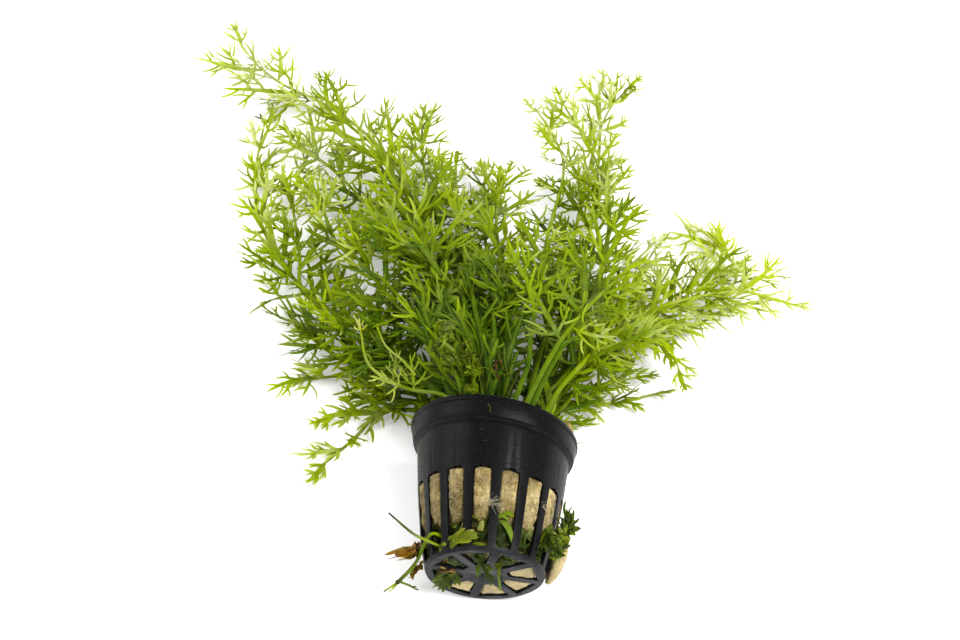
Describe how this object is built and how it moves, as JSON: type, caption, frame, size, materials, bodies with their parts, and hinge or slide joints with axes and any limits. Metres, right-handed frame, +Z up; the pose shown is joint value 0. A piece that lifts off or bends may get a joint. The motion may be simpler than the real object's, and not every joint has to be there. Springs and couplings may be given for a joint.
{
  "type": "potted water sprite",
  "caption": "Aquarium fern with finely divided green fronds, lying on its side in a slotted black net pot packed with stone wool.",
  "frame": {"origin": "on the table, under the middle of the whole plant as it lies", "axes": "+Z up, +Y from the pot's base towards the frond tips, +X to the right seen from the pot's base"},
  "size_m": [0.2202, 0.2738, 0.0542],
  "materials": {
    "black_plastic": "moulded black plastic, a little scratched, soft gloss",
    "stone_wool": "beige mineral fibre, matted and damp",
    "rootstock": "knobby rootstock, dull",
    "leaf_green": "fresh fern leaf, yellow green at the tips, soft sheen",
    "leaf_dark": "wet dark green leaf bits",
    "dead_brown": "dead brown leaf"
  },
  "bodies": {
    "root": {"pot": "black_plastic", "stone_wool": "stone_wool", "crown": "rootstock", "trapped_stem_upper": "leaf_green", "trapped_stem_lower": "leaf_green", "base_stem": "leaf_green", "dead_leaf": "dead_brown", "tuft_upper": "leaf_dark", "tuft_lower": "leaf_dark", "window_leaf_left": "leaf_dark", "window_leaf_middle": "leaf_dark", "slot_leaf_1": "leaf_dark", "slot_leaf_2": "leaf_dark", "slot_leaf_3": "leaf_dark", "slot_leaf_4": "leaf_dark", "slot_leaf_5": "leaf_dark", "frond_left_bottom": "leaf_green", "frond_right_floor": "leaf_green", "frond_left_floor": "leaf_green", "frond_left_tongue": "leaf_green", "frond_low_left": "leaf_green", "frond_right_low": "leaf_green", "frond_outer_left": "leaf_green", "frond_right_mid": "leaf_green", "frond_right_hook": "leaf_green", "frond_right_crest": "leaf_green", "frond_centre": "leaf_green", "frond_left_inner": "leaf_green", "frond_hooked_tip": "leaf_green", "frond_left_centre": "leaf_green", "frond_right_drop": "leaf_green", "frond_left_arch": "leaf_green", "frond_far_right": "leaf_green", "frond_upright_left": "leaf_green", "frond_left_mid": "leaf_green", "frond_centre_right": "leaf_green", "frond_tall_right": "leaf_green", "frond_top_left": "leaf_green", "frond_centre_left": "leaf_green", "frond_upright_right": "leaf_green", "frond_pale_shoot": "leaf_green", "frond_bright_right": "leaf_green"}
  },
  "joints": []
}
